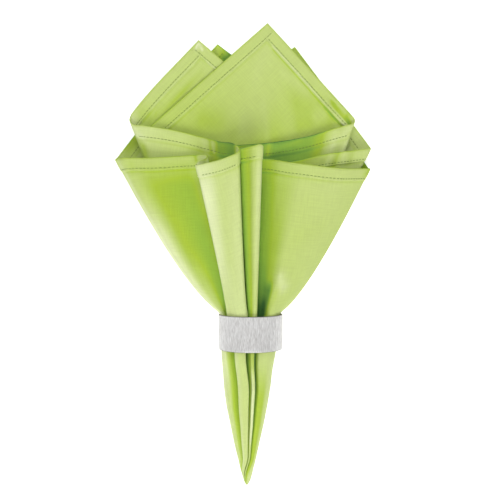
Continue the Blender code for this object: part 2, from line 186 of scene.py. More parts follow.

# A row for each fold, corner or soft turn, in their order along the hem. hemAt is how far
# along it is from corner a. X and Y are places in plan, In and Out the heights where
# the cloth comes and leaves, from the bundle's middle in the ring and tail. spread and drop bend
# its way to the hem, seen is 1 where it shows, side is 1 where the hem is turned on the upper
# face. bloom is painted light and shade in the cloth's colour: -1 deep green of painted
# shade, 0 clear lime, 1 pale and 2 palest as painted light. Its seven places are the hem, 20%
# and 55% of the way to the ring, the ring's upper rim, its lower rim, the tail and its tip.
shadingPlaces = (0.0, 0.2, 0.55, 1.0, 1.22, 1.5, 2.0)
Fold = namedtuple(
    "Fold",
    "name kind hemAt hemX hemY hemIn hemOut ringX ringIn ringOut"
    " tailX tailIn tailOut spread drop seen side bloom",
)
folds = [Fold(*row) for row in (
    ("corner a", "corner", 0, -40, 163.2, 6.2, 6.2, -6, -8.2, -8.2, -2, -4, -4, 0.8, 3, 1, 1,
     (0.85, 0.6, -0.2, -0.5, -0.5, -0.5, 0.5)),
    ("a foot", "soft", 70, -86.7, 112.6, 6.4, 6.4, -15.4, -6.9, -6.9, -9.2, -3.3, -3.3, 0.75, 3, 1, 1,
     (0.8, 0.35, 0, -0.3, -0.3, -0.3, 0.5)),
    ("a to l2", "left", 85, -93.1, 100.1, 6.4, 12.8, -16.6, -6.8, -0.6, -10, -3.2, 0.4, 0.74, 2.6, 1, 1,
     (1.05, 1.1, 0.4, 0, 0, 0, 0.5)),
    ("l2 left", "soft", 96, -84, 95.6, 13.4, 13.4, -15.5, 0.6, 0.6, -9, 1, 1, 0.76, 2.4, 1, 1,
     (1.15, 0.75, 0.2, 0, 0, 0, 0.5)),
    ("l2 middle", "soft", 122, -58, 91.5, 14.8, 14.8, -12, 5.3, 5.3, -5, 3.4, 3.4, 0.8, 2.2, 1, 1,
     (0.9, 0.6, 0.2, 0, 0, 0, 0.5)),
    ("l2 fade", "soft", 150, -31, 84.4, 17.4, 17.4, -7.5, 10, 10, -2.8, 5.4, 5.4, 0.9, 2.2, 1, 1,
     (0.65, -0.2, -0.3, 0, 0, 0, 0.5)),
    ("l2 right", "soft", 159, -22, 82, 19.5, 19.5, -5.5, 12, 12, -1.8, 6, 6, 0.95, 2.2, 1, 1,
     (-0.3, -0.6, -0.5, 0, 0, 0, 0.5)),
    ("l2 lip", "soft", 171, -12.8, 79.8, 26.5, 26.5, -3.4, 14, 14, -0.6, 9.2, 9.2, 1, 1.8, 1, 1,
     (-0.6, -0.7, -0.6, 0, 0, 0, 0.5)),
    ("loop", "right", 184, -8, 73.5, 30.5, 37, -1.8, 16.3, 20.6, 0.85, 10.9, 12.6, 0.6, 1.3, 1, 1,
     (0.8, 1.15, 1.2, 1.2, 0.9, 0.9, 1)),
    ("p1 crest", "soft", 204, -22, 66, 38.8, 38.8, -8, 19.7, 19.7, -1.8, 12.9, 12.9, 1, 1.3, 1, 1,
     (1.05, 1, 1.05, 1.2, 0.9, 0.9, 1)),
    ("p1 edge", "left", 224, -39.9, 63.1, 35.4, 31, -16.4, 14, 12.2, -4.8, 11.6, 10, 1.1, 1.3, 1, 1,
     (1.5, 1.9, 1.7, 1.1, 1.2, 1.1, 1.5)),
    ("p1 tuck", "right", 300, -32, 71, 26, 22.4, -13.4, 10.2, 8, -3, 8.6, 7, 1.06, 1.3, 1, 1,
     (0.6, 0.75, 0, -0.9, -0.6, -0.2, 0.3)),
    ("l1 low", "soft", 322, -52, 71.4, 19.5, 19.5, -17.6, 6.6, 6.6, -5.6, 7.6, 7.6, 0.95, 1.3, 1, 1,
     (0.6, -0.2, -0.3, -0.3, -0.2, -0.1, 0.5)),
    ("l1 slope", "soft", 345, -78, 69.4, 23, 23, -18.9, 7, 7, -7.8, 8.8, 8.8, 0.8, 1.3, 1, 1,
     (0.65, -0.1, 0, 0.8, 0.3, 0, 0.5)),
    ("l1 crest", "soft", 364, -95.5, 69, 25.5, 25.5, -20.3, 7, 7, -9.8, 8.4, 8.4, 0.76, 1.3, 1, 1,
     (0.7, 0.75, 1.7, 1.8, 1.5, 1, 0.9)),
    ("l1 to b", "left side", 384, -104.3, 70.8, 13, 1, -21.2, 2, -5, -12.9, 1.5, -1.5, 0.745, 2, 1, 1,
     (0.95, 1.4, 1.95, 1.9, 1.6, 1.5, 1.2)),
    ("b left", "soft", 402, -95, 84.7, -0.4, -0.4, -16.8, -13, -13, -9.6, -8.7, -8.7, 0.76, 12, 0, 1,
     (0.2, 0.3, 0.5, 0.8, 0.9, 0.9, 1)),
    ("corner b", "corner", 508, -25.5, 161.7, -0.4, -0.4, -1, -21.2, -21.2, 0, -13, -13, 0.76, 12, 0, 1,
     (0.3, 0.7, 0.8, 0.8, 0.8, 0.8, 1)),
    ("b right", "soft", 655, 88.5, 71, -0.4, -0.4, 16.8, -13, -13, 9.6, -8.7, -8.7, 0.76, 12, 0, 1,
     (0.6, 0.7, 0.8, 0.8, 0.8, 0.8, 1)),
    ("b to r1", "right side", 667, 92.5, 63.2, 1, 16, 21.2, -5, 3.6, 12.9, -1.5, 1.5, 0.755, 2, 1, 1,
     (0.85, 0.8, 0.75, 0.8, 1, 1.1, 1.1)),
    ("r1 swell", "soft", 697, 70, 61.1, 26, 26, 19, 9.4, 9.4, 11, 6.7, 6.7, 0.78, 1.3, 1, 1,
     (0.85, 0.85, 0.8, 0.7, 0.95, 0.9, 0.8)),
    ("r1 crest", "soft", 725, 42, 63.6, 31, 31, 12.8, 16.9, 16.9, 8.9, 8.7, 8.7, 0.95, 1.3, 1, 1,
     (0.8, 0.75, 0.7, 0.7, 0.95, 0.05, 0)),
    ("r1 rise", "soft", 742, 26, 66.6, 24.6, 24.6, 10.8, 14, 14, 6.6, 9.2, 9.2, 0.98, 1.3, 1, 1,
     (0.65, 0.35, 0.1, 0, 0.9, 0, 0)),
    ("r1 dip", "soft", 755, 13.5, 69.4, 18.6, 18.6, 8.2, 10.4, 10.4, 5.2, 7, 7, 1, 1.3, 1, 1,
     (0, -0.25, -0.3, -0.8, -0.2, -0.3, -0.1)),
    ("r1 tuck", "left", 768, 2, 71, 16, 23, 2.6, 9, 13, 3.4, 5, 7, 1, 1.3, 0, 1,
     (-0.3, -0.6, -0.6, -1, -0.9, -0.7, -0.2)),
    ("p2 edge", "right", 789, 9.1, 76.4, 35.6, 40, 4.6, 16.4, 20.2, 4.2, 9.4, 11.3, 1, 1.3, 1, 1,
     (0.9, 1.2, 1.1, 0.8, 0.3, 1.1, 0.6)),
    ("p2 crest", "soft", 794, 3.6, 76.3, 39.9, 39.9, 2.3, 19.9, 19.9, 3, 11.2, 11.2, 1, 1.3, 1, 1,
     (0.6, 0.75, 0.8, 0.6, 0.4, 1.2, 0.8)),
    ("p2 slope", "soft", 799, -1, 76, 36, 36, 1.2, 19.2, 19.2, 2.5, 10.2, 10.2, 1, 1.3, 1, 1,
     (0.15, 0, 0.05, 0, -0.1, 0.1, 0.2)),
    ("p2 left", "soft", 807, -6.4, 75.6, 32, 32, -0.6, 17.8, 17.8, 1.6, 8.8, 8.8, 0.8, 1.3, 1, 1,
     (-0.2, -0.35, -0.45, -0.45, -0.5, -0.3, 0)),
    ("under loop", "soft", 825, -12.5, 76, 16, 16, -1.8, 11, 11, 0.6, 6.9, 6.9, 1, 1.8, 0, 1,
     (-0.5, -0.55, -0.6, -0.6, -0.5, -0.4, 0)),
    ("under l2", "soft", 859, -50, 84, 12, 12, -7.5, 5.2, 5.2, -2.2, 2.6, 2.6, 0.85, 2.2, 0, 1,
     (-0.2, -0.3, -0.3, -0.5, -0.5, -0.5, 0)),
    ("back to c", "left", 891, -79.7, 92.1, 11.2, 8.4, -11, 0.2, -3.2, -6.2, 0, -1.7, 0.74, 2.6, 1, -1,
     (0.45, 0.2, 0, -0.3, -0.3, -0.3, 0)),
    ("corner c", "corner", 1016, 13.6, 175.7, 8.2, 8.2, 1, -3.4, -3.4, 0.5, -1.4, -1.4, 0.75, 3, 1, -1,
     (0.8, 0.72, -0.1, -0.3, -0.3, -0.3, 0)),
    ("c to r3", "right", 1119, 81, 99.7, 8.2, 12.4, 12, -3.8, -0.2, 7, -1.6, 0.2, 0.7, 2.6, 1, -1,
     (0.8, 0.45, 0.2, 0, 0, 0, 0)),
    ("r3 right", "soft", 1139, 63, 92.6, 13.8, 13.8, 9.6, 0.6, 0.6, 5.4, 0.6, 0.6, 0.75, 2.4, 1, -1,
     (0.6, 0.6, 0.2, 0, 0, 0, 0)),
    ("r3 middle", "soft", 1157, 46, 87.4, 14.6, 14.6, 7, 1.4, 1.4, 3.6, 0.9, 0.9, 0.8, 2.2, 1, -1,
     (-0.4, -0.5, -0.4, -0.3, -0.3, -0.3, 0)),
    ("r3 deep", "soft", 1186, 19, 82.9, 12.8, 12.8, 2.6, 1.3, 1.3, 2.2, 0.8, 0.8, 0.88, 2.2, 1, -1,
     (-0.6, -0.7, -0.6, -0.3, -0.3, -0.3, 0)),
    ("r3 to r2", "left", 1225, -16, 80, 9.6, 12.2, -3.5, 0.8, 4.4, 0.4, 0.6, 2.5, 0.95, 2.2, 0, -1,
     (0, -0.3, -0.4, -0.5, -0.5, -0.5, 0)),
    ("r2 low", "soft", 1345, 26, 67.6, 14.6, 14.6, 5, 5.2, 5.2, 4.4, 3.1, 3.1, 0.9, 2.2, 1, -1,
     (-0.1, -0.1, -0.2, -0.5, -0.5, -0.5, 0)),
    ("r2 turn", "soft", 1381, 58, 72.6, 20.5, 20.5, 11, 4.4, 4.4, 7.2, 2.9, 2.9, 0.8, 2, 1, -1,
     (0.5, 0.55, 0.3, 0, 0, 0, 0)),
    ("r2 to d", "right", 1421, 93.2, 79.2, 13.4, 4.2, 16.2, 0.6, -7.4, 10, 1, -4.2, 0.78, 2.6, 1, -1,
     (0.9, 0.8, 0.5, 0.2, 0.2, 0.2, 0.2)),
    ("corner d", "corner", 1524, 35.1, 159.1, 2.2, 2.2, 10, -15.4, -15.4, 6, -8.6, -8.6, 0.75, 3, 0, 1,
     (0.4, 0.4, 0.3, 0.2, 0.2, 0.2, 0.2)),
    ("d to pleat", "left", 1618, -40, 103, 2.2, 4.2, -11.6, -15.4, -12.6, -6.2, -8.5, -6.5, 0.8, 3, 0, 1,
     (0.3, 0.3, 0.3, 0.3, 0.3, 0.3, 0.3)),
    ("pleat to a", "right", 1925, 40, 94, 4.4, 6.4, 9.4, -12, -9, 4.6, -6.2, -4.3, 0.8, 3, 1, 1,
     (0.5, 0.3, 0.3, 0.3, 0.3, 0.3, 0.3)),
)]
neighbours = list(zip(folds, folds[1:] + folds[:1]))  # each with the next one
# Outer folds that turn in a wider or tighter round than the rest
noseTurns = {"a to l2": 7, "c to r3": 6, "l1 to b": 3.5, "b to r1": 3, "r2 to d": 4}
# Where the seen folds leave the ring, in place of tailX
exitPlaces = {
    "l1 crest": -11, "l1 slope": -9.4, "l1 low": -7.2, "p1 tuck": -5, "p1 edge": -6.4,
    "p1 crest": -4, "loop": -1.5, "l2 lip": -2.6, "p2 left": -0.2, "p2 slope": 0.7,
    "p2 crest": 1.3, "p2 edge": 2.5, "under loop": -0.6, "r1 tuck": 2.2, "r1 dip": 3.6,
    "r1 rise": 5, "r1 crest": 8.2,
}

# Soft ridges and troughs, each along a line on the flat cloth. at is a place along the hem,
# inset a distance from its edge, then half the width, the height, and the change of
# bloom, painted light above 0 and painted shade below. Rows of height 0 are painted
# alone: shadows such as "a under c" and "b tab shade", lit patches such as "b inner light".
# The others are real ridges and troughs with painted light and shade on them.
Crease = namedtuple("Crease", "name at inset toAt toInset width height bloom")
creases = [Crease(*row) for row in (
    ("c pale band", 985, 30, 1058, 8, 13, 0.5, 0),
    ("c top", 1016, 16, 1007, 23, 8, 0.3, 0.1),
    ("c foot", 1000, 50, 1034, 58, 9, -0.4, -0.08),
    ("c foot ridge", 1015, 44, 1023, 60, 4.5, 0.4, 0.12),
    ("c left foot", 943, 21, 974, 42, 7, -0.4, -0.25),
    ("c right foot", 1058, 25, 1099, 9, 8, -0.4, -0.3),
    ("c right spot", 1082, 21, 1089, 16, 5, 0.4, 0.3),
    ("c right lower", 1097, 16, 1067, 35, 5, -0.3, -0.25),
    ("c soft line", 1037, 18, 1067, 13, 3, 0.4, 0.1),
    ("a trough", 61, 13, 16, 16, 5, -0.2, -0.04),
    ("a foot", 70, 5, 64, 13, 6, 0, -0.25),
    ("l2 corner", 89, 15, 86, 26, 4.5, -0.4, -0.9),
    ("l2 pucker", 146, 2, 145, 13, 2.5, 0.5, 0.25),
    ("l2 pucker foot", 153.3, 1, 152.5, 9, 1.6, 0.5, 0.35),
    ("r3 spot", 1191, 3, 1191, 8, 2.6, 0.5, 0.6),
    ("r3 ridge", 1136, 3, 1133, 16, 3, 0.6, 0.3),
    ("r3 trough", 1146, 3, 1144, 17, 3, -0.6, -0.3),
    ("r3 line", 1165, 2, 1186, 6, 2.2, 0.3, 0.15),
    ("r2 ridge", 1385, 2, 1384, 9, 2.2, 0.7, 0.35),
    ("r2 outer ridge", 1397, 2, 1399, 10, 2.2, 0.6, 0.3),
    ("r2 trough", 1391, 2, 1391, 10, 2, -0.6, -0.4),
    ("r2 outer trough", 1404, 2, 1406, 10, 2, -0.5, -0.25),
    ("l1 turned patch", 305, 1, 300, 5, 3.2, 0.1, 0.5),
    ("l1 hem pucker", 358, 4, 361, 11, 2.4, -0.4, -0.2),
    ("l1 ripple", 345, 20, 350, 82, 6, 0.3, 0.06),
    ("p1 trough", 209, 11, 210, 73, 4, -0.4, -0.12),
    ("r1 spot", 723, 84, 714, 92, 4.2, 1.2, 0.6),
    ("r1 shoulder", 722, 96, 728, 112, 3, -0.5, -0.25),
    ("r1 upper ripple", 725, 20, 698, 14, 6, 0.3, 0.06),
    ("r1 lower ripple", 714, 53, 695, 44, 7, -0.3, -0.06),
    ("a under c", 57, 15.4, 2, 19.4, 1.6, 0, -0.5),
    ("c hem corner", 1088, 10.8, 1117, 11, 1.1, -0.3, -0.4),
    ("c hem fold", 1094, 5, 1117, 5.5, 1.1, -0.6, -1.5),
    ("c hem roll", 1088, 7.5, 1117, 8, 1.2, 0.5, 0.3),
    ("wedge", 740, 96, 750, 114, 5.2, -0.5, -0.85),
    ("b tab shade", 514, 7, 520, 3, 3.4, 0, -1.2),
    ("b inner hem", 388, 3.5, 430, 4, 4, 0, -0.15),
    ("b inner light", 400, 13, 415, 14, 7, 0, 0.55),
    ("d inner light", 1440, 16, 1452, 16, 6, 0, 0.35),
    ("r1 nose shade", 655, 3, 668, 3, 4, 0, -0.9),
    ("l2 seam fold", 150.6, 1, 149.8, 10, 1.3, -0.5, -0.5),
    ("a turned end", -2.5, 3.4, 3, 2.6, 1.1, 0.3, 1.6),
    ("c right ridge", 1024, 9.7, 1115, 9.7, 0.8, 0.6, 0.7),
    ("c right line", 1024, 10.9, 1117, 10.9, 0.8, -0.2, -0.55),
    ("c left ridge", 905, 9.8, 1010, 9.8, 0.8, 0.3, 0.2),
    ("a left ridge", 6, 9.8, 60, 9.8, 0.8, 0.3, 0.25),
    ("a right ridge", 1990, 9.8, 2026, 9.8, 0.8, 0.5, 0.5),
    ("c nose shade", 1112, 3, 1118, 7, 2.4, -0.3, -0.8),
    ("wedge top", 738, 91, 748, 94, 3, -0.1, -0.3),
    ("c heart", 1000, 50, 1014, 55, 10, 0.3, 0.22),
    ("c right shade", 1060, 36, 1040, 52, 12, -0.3, -0.1),
    ("c upper shade", 1046, 24, 1036, 40, 8, -0.3, -0.1),
    ("l2 nose light", 86, 5, 92, 9, 4, 0.2, 0.45),
    ("r3 nose light", 1122, 4, 1134, 12, 6, 0, 0.35),
    ("r3 inner light", 1117, 17, 1119, 27, 7, 0, 0.85),
    ("c low left", 972, 38, 984, 44, 7, 0, 0.18),
    ("l2 second fold", 156, 1, 155.2, 9, 1.3, -0.4, -0.4),
    ("l1 end fold", 310.5, 0.8, 310.5, 4.5, 1.2, -0.5, -0.8),
    ("tail line", 794, 159, 794, 213, 2.4, 0.4, 0.6),
    ("tail valley", 778, 146, 778, 172, 3, -0.4, -0.6),
)]
# How far a fold's turn reaches sideways in each section, at most
foldReach = {"ring": 3.0, "exit": 2.0, "tail": 2.0}
sideReach = {"ring": 0.4, "exit": 0.2, "tail": 0.2}


def goesRound(fold):  # a corner or soft turn is one point, any other fold a row of them
    return fold.kind not in ("corner", "soft")


def columnsIn(fold):
    return napkin["foldSteps"] + 1 if goesRound(fold) else 1


def anchorOf(fold, section):  # x, y and the heights where the cloth comes and where it leaves
    heights = "tail" if section == "exit" else section
    low, high = getattr(fold, heights + "In"), getattr(fold, heights + "Out")
    if section == "hem":
        return fold.hemX, fold.hemY, low, high
    x = exitPlaces.get(fold.name, fold.tailX) if section == "exit" else getattr(fold, section + "X")
    return x, 0.0, low, high


def foldPoints(k, section):
    # A fold turns by an angle a from -90 to 90 with z = middle + half sin a. In the ring and tail
    # x += reach (1 - cos a). At the hem its plan is a parabola between the directions in which
    # the hem comes and leaves, (1-t)^2 (corner - come) + 2t(1-t) corner + t^2 (corner + leave),
    # set so that its middle lies on the row's own place.
    fold = folds[k]
    x, y, low, high = anchorOf(fold, section)
    if not goesRound(fold):
        return np.array([[x, y, low]], float)
    turn = np.linspace(-0.5 * math.pi, 0.5 * math.pi, columnsIn(fold))
    z = 0.5 * (low + high) + 0.5 * (high - low) * np.sin(turn)
    if section != "hem":
        most = (sideReach if fold.kind.endswith("side") else foldReach)[section]
        reach = min(0.5 * abs(high - low), most)
        reach = reach if fold.kind.startswith("left") else -reach
        return np.stack([x + reach * (1.0 - np.cos(turn)), 0.0 * turn, z], axis=1)
    here = np.array([x, y])
    before = np.array(anchorOf(folds[k - 1], "hem")[:2])
    after = np.array(anchorOf(folds[(k + 1) % len(folds)], "hem")[:2])
    size = noseTurns.get(fold.name, napkin["turn"])
    come = (here - before) * size / np.linalg.norm(here - before)
    leave = (after - here) * size / np.linalg.norm(after - here)
    corner = here - 0.25 * (leave - come)
    t = (turn / math.pi + 0.5)[:, None]
    plan = corner - (1.0 - t) ** 2 * come + t**2 * leave
    return np.column_stack([plan, z])


def slopeAt(before, here, after):  # travel through a soft turn, fair to a long and a short side
    back, forth = np.linalg.norm(here - before), np.linalg.norm(after - here)
    return (here - before) / back - (after - before) / (back + forth) + (after - here) / forth


def spanPoints(before, start, end, after, count):
    # A cubic from start to end: (2t^3 - 3t^2 + 1) start + (t^3 - 2t^2 + t) leave
    # + (3t^2 - 2t^3) end + (t^3 - t^2) arrive
    length = np.linalg.norm(end - start)
    leave = end - start if before is None else slopeAt(before, start, end) * length
    arrive = end - start if after is None else slopeAt(start, end, after) * length
    t = (np.arange(1, count + 1) / (count + 1))[:, None]
    ends = (2 * t**3 - 3 * t**2 + 1) * start + (3 * t**2 - 2 * t**3) * end
    return ends + (t**3 - 2 * t**2 + t) * leave + (t**3 - t**2) * arrive


def spanCounts():  # columns between neighbouring rows of the table, closer where the cloth shows
    counts = []
    for fold, ahead in neighbours:
        gap = math.dist((fold.hemX, fold.hemY, fold.hemOut), (ahead.hemX, ahead.hemY, ahead.hemIn))
        step = napkin["visibleStep"] if fold.seen or ahead.seen else napkin["hiddenStep"]
        counts.append(max(3, round(gap / step) - 1))
    return counts


def sectionCurve(section, counts):
    # The closed curve through all the folds at one section, cubic between them
    anchors = [foldPoints(k, section) for k in range(len(folds))]
    soft = ("soft",) if section == "hem" else ("soft", "corner")
    places = []
    for k, fold in enumerate(folds):
        ahead = (k + 1) % len(folds)
        before = anchors[k - 1][-1] if fold.kind in soft else None
        after = anchors[(ahead + 1) % len(folds)][0] if folds[ahead].kind in soft else None
        span = spanPoints(before, anchors[k][-1], anchors[ahead][0], after, counts[k])
        places += [anchors[k], span]
    return np.concatenate(places)


def alongHem(valueOf, counts, blend=eased):
    # A number that each fold has, at every column: the fold's own in its turn, blended between
    values = []
    for (fold, ahead), count in zip(neighbours, counts):
        here, change = float(valueOf(fold)), valueOf(ahead) - valueOf(fold)
        share = np.arange(1, count + 1) / (count + 1)
        values += [np.full(columnsIn(fold), here), here + change * blend(share)]
    return np.concatenate(values)


def clothAlong(counts):  # each column's place along the hem; a fold's turn takes up cloth too
    places = []
    for (fold, ahead), count in zip(neighbours, counts):
        taken, takenAhead = (napkin["clothInTurn"] * goesRound(row) for row in (fold, ahead))
        end = (ahead.hemAt or rimLength) - takenAhead  # after the last fold comes corner a again
        places.append(fold.hemAt + np.linspace(-taken, taken, columnsIn(fold)))
        places.append(np.linspace(fold.hemAt + taken, end, count + 2)[1:-1])
    return np.concatenate(places)


def bundleAt(y, ringCurve, exitCurve, tailCurve):
    # The gathered section at y: the upper rim's curve eased into the lower rim's and then into
    # the tail's, scaled to the girth there. Near the tip it turns about its middle.
    radius = np.interp(-y, -girths[:, 0], girths[:, 1])
    middle = np.interp(-y, -girths[:, 0], girths[:, 2])
    share = eased((napkin["blendStart"] - y) / (napkin["blendStart"] - napkin["exitSection"]))
    later = eased((napkin["exitSection"] - y) / (napkin["exitSection"] - napkin["tailSection"]))
    lower = ((1.0 - later) * exitCurve + later * tailCurve) / napkin["tailRound"]
    row = (1.0 - share) * ringCurve / napkin["ringRound"] + share * lower
    twist = napkin["twist"] * eased((napkin["twistStart"] - y) / napkin["twistLength"])
    row[:, 0], row[:, 2] = turnedBy(row[:, 0], row[:, 2], twist)
    row *= radius
    held, lying = napkin["ringHeight"], radius + napkin["tableGap"]
    row[:, 0] += middle
    row[:, 1] = y
    row[:, 2] += held + (lying - held) * eased((napkin["tailStart"] - y) / napkin["sinkLength"])
    return row


def fanAt(share, start, hem, spread, drop):
    # From ring to hem: x by share^spread, y by share, z by 1 - (1 - share)^drop
    row = start.copy()
    row[:, 0] += (hem[:, 0] - start[:, 0]) * share**spread
    row[:, 1] += (hem[:, 1] - start[:, 1]) * share
    row[:, 2] += (hem[:, 2] - start[:, 2]) * (1.0 - (1.0 - share) ** drop)
    row[:, 2] = np.maximum(row[:, 2], napkin["tableGap"])
    return row


def densePaths(counts):  # each column from its hem to the tip as many close rows
    hem = sectionCurve("hem", counts)
    bundle = [sectionCurve(section, counts) for section in ("ring", "exit", "tail")]
    spread = alongHem(lambda fold: fold.spread, counts)
    drop = alongHem(lambda fold: fold.drop, counts)
    start = bundleAt(napkin["fanStart"], *bundle)
    steps, crowding = napkin["fanSteps"]
    shares = np.linspace(1.0, 0.0, steps) ** crowding
    rows = [fanAt(share, start, hem, spread, drop) for share in shares]
    down = np.linspace(napkin["fanStart"] - 1.0, girths[-1, 0], napkin["bundleSteps"])
    rows += [bundleAt(y, *bundle) for y in down]
    return np.array(rows)


def resampled(paths, shares):
    # Points at equal shares of each path's own length. The paths are laid on one line, two units
    # apart, so that a single interpolation serves them all.
    steps = np.linalg.norm(np.diff(paths, axis=0), axis=2)
    run = np.concatenate([np.zeros((1, paths.shape[1])), np.cumsum(steps, axis=0)])
    apart = 2.0 * np.arange(paths.shape[1])
    known = (run / run[-1] + apart).T.ravel()
    asked = (shares[:, None] + apart).T.ravel()
    axes = [np.interp(asked, known, paths[:, :, axis].T.ravel()) for axis in range(3)]
    return np.stack(axes, axis=-1).reshape(paths.shape[1], len(shares), 3).swapaxes(0, 1).copy()


def hemOutline(counts):
    # The cut cloth's edge: each column's point on the square's rim, the middle of the cloth at 0
    at = clothAlong(counts)
    side = np.floor(at / napkin["side"] + 1e-9)
    along = at - side * napkin["side"] - halfSide
    return np.stack(turnedBy(halfSide, along, 0.5 * math.pi * side), axis=1)


def wobble(x, y, seed, waves, lowest, highest):
    # Sum of a few sines in random directions and phases, from -1 to 1 or so
    rng = np.random.default_rng(seed)
    total = np.zeros_like(x)
    for _ in range(waves):
        angle = rng.uniform(0, math.tau)
        size = rng.uniform(lowest, highest)
        phase = rng.uniform(0, math.tau)
        total += np.sin((x * math.cos(angle) + y * math.sin(angle)) * size + phase)
    return total / waves


def clothNormals(grid):  # unit vectors square to the step across and the step along
    across = np.roll(grid, -1, axis=1) - np.roll(grid, 1, axis=1)
    return unitVectors(np.cross(across, np.gradient(grid, axis=0)))


def gathered(grid, counts):
    # Small crimps run down the held cloth: the surface moves along its normal by a sine of the
    # column number, most where the cloth is hidden and below the ring's upper rim
    top, deepening = napkin["gatherTop"]
    tip, fading = napkin["gatherTip"]
    held = eased((top - grid[..., 1]) / deepening) * eased((grid[..., 1] - tip) / fading)
    wave = np.sin(np.arange(grid.shape[1]) * math.tau / napkin["gatherColumns"])
    depth = napkin["gatherDepth"] * (1.0 - alongHem(lambda fold: fold.seen, counts)) * wave
    return grid + clothNormals(grid) * (held * depth)[..., None]


def paintedShadingOf(grid, counts):
    # Each column's seven bloom values, its painted light and shade, blended by how far
    # down it a point is: 0 at the hem, 1 at the ring, 2 at the tip
    top, foot = grid[0, :, 1], napkin["fanStart"]
    fan = np.clip((top - grid[..., 1]) / (top - foot), 0.0, 1.0)
    down = np.where(grid[..., 1] > foot, fan, 1.0 + (foot - grid[..., 1]) / napkin["tipRun"])
    levels = [alongHem(lambda fold: fold.bloom[k], counts) for k in range(len(shadingPlaces))]
    bloom = np.zeros(grid.shape[:2])
    for k in range(len(shadingPlaces) - 1):
        share = eased((down - shadingPlaces[k]) / (shadingPlaces[k + 1] - shadingPlaces[k]))
        bloom += (levels[k + 1] - levels[k]) * share
    return bloom + levels[0]


def creaseField(hemAt, inset):
    # Each crease is a bell across its line and round its ends, times its height, and times its
    # change of bloom, the painted light and shade
    lift, bloom = np.zeros_like(inset), np.zeros_like(inset)
    across = 1.0 - inset / halfSide
    for crease in creases:
        shrink = 1.0 - crease.inset / halfSide
        run = np.array([(crease.toAt - crease.at) * shrink, crease.toInset - crease.inset])
        away = (hemAt - crease.at + 0.5 * rimLength) % rimLength - 0.5 * rimLength
        x, y = away * across, inset - crease.inset
        share = np.clip((x * run[0] + y * run[1]) / max(run @ run, 1e-6), 0.0, 1.0)
        shape = bell(np.hypot(x - share * run[0], y - share * run[1]), crease.width)
        lift += crease.height * shape
        bloom += crease.bloom * shape
    return lift, bloom


def hemShade(inset):  # painted shade: two dark bells across the hem, at its outer edge and past its inner edge
    edge, edgeWidth = napkin["edgeShade"]
    step, past, stepWidth = napkin["stepShade"]
    return edge * bell(inset, edgeWidth) + step * bell(inset - napkin["hemWidth"] - past, stepWidth)


def softWaves(hemAt, inset):
    # Short waves that fade away from the seam, and broad low ones that fade towards it
    seam = np.exp(-((inset / napkin["puckerWidth"]) ** 4))
    short = wobble(hemAt, inset * napkin["puckerStretch"], *napkin["puckerWaves"])
    broad = wobble(hemAt * (1.0 - inset / halfSide), inset, *napkin["billowWaves"])
    start, length = napkin["billowFade"]
    held = 1.0 - eased((inset - start) / length)
    return napkin["pucker"] * short * seam + napkin["billow"] * broad * (1.0 - seam) * held


def clothRows():  # distances from the hem's edge, close over the hem and even after it
    fan, tail = np.linspace(*napkin["fanRows"]), np.linspace(*napkin["tailRows"])
    return np.concatenate([napkin["hemRows"], fan, tail])


def clothSkins(grid, inset, turned):
    # The middle surface moved half a thickness out and in, more on the side where the hem is turned
    before, width = napkin["hemStep"]
    extra = napkin["hemExtra"] * (1.0 - eased((inset - napkin["hemWidth"] + before) / width))
    depth, dentWidth = napkin["stitchDent"]
    dent = depth * bell(inset - napkin["stitchInset"], dentWidth)
    end, taper, least = napkin["tip"]
    rim = np.sqrt(np.clip(inset / napkin["rimRound"], 0.0, 1.0))  # the folded edge is round
    rim *= np.clip((end - inset) / taper, least, 1.0)
    half = 0.5 * napkin["thickness"]
    top = (half + (extra - dent) * (turned > 0) - 0.5 * dent * (turned < 0)) * rim
    low = (half + (extra - dent) * (turned < 0) - 0.5 * dent * (turned > 0)) * rim
    outward = clothNormals(grid)
    skins = grid + outward * top[..., None], grid - outward * low[..., None]
    for skin in skins:
        skin[..., 2] = np.maximum(skin[..., 2], napkin["lowest"])
    return skins, outward


def buildNapkin(material):
    counts = spanCounts()
    insets = clothRows()
    grid = resampled(densePaths(counts), insets / halfSide)
    height, width = grid.shape[:2]
    inset = np.repeat(insets[:, None], width, axis=1)
    place = clothAlong(counts)
    hemAt = np.repeat(place[None, :], height, axis=0)
    lift, paintedShadingTint = creaseField(hemAt, inset)
    grid[..., 2] += lift + softWaves(hemAt, inset) * alongHem(lambda fold: fold.seen, counts)
    # painted light and shade: the folds' own, the creases' and the hem's painted shade
    bloom = paintedShadingOf(grid, counts) + paintedShadingTint + hemShade(inset)
    grid = gathered(grid, counts)
    turned = alongHem(lambda fold: fold.side, counts, lambda share: share)
    skins, outward = clothSkins(grid, inset, turned[None, :])
    flat = hemOutline(counts)[None] * (1.0 - insets / halfSide)[:, None, None]
    uv = flat / napkin["side"] + 0.5
    index = np.arange(height * width).reshape(height, width)
    a, b = index[:-1], np.roll(index, -1, axis=1)[:-1]
    c, d = np.roll(index, -1, axis=1)[1:], index[1:]
    quads = np.stack([a, b, c, d], axis=-1).reshape(-1, 4)
    # The two skins share the hem's rim, row 0, and close on each other at the tip
    size = height * width
    back = quads[:, ::-1] + size
    back = np.where(back - size < width, back - size, back)
    lastTop, lastLow = index[-1], index[-1] + size
    close = np.stack([lastTop, np.roll(lastTop, -1), np.roll(lastLow, -1), lastLow], axis=-1)
    faces = np.concatenate([quads, back, close])
    both = np.stack([uv, uv]), np.stack([bloom, bloom])
    piece = gridMesh("napkinCloth", np.stack(skins), faces, material, *both)
    turnOutwards(piece)
    print("napkin:", height, "rows,", width, "columns")
    stitches = np.concatenate([
        stitchLine(skin, side, place, insets) for skin, side in zip(skins, (outward, -outward))
    ])
    thread = capsuleMesh("hemStitches", stitches, threadMaterial())
    print("stitches:", len(stitches))
    seam = buildHemEdge(skins, outward, turned, place, insets, bloom, material)
    return piece, thread, seam


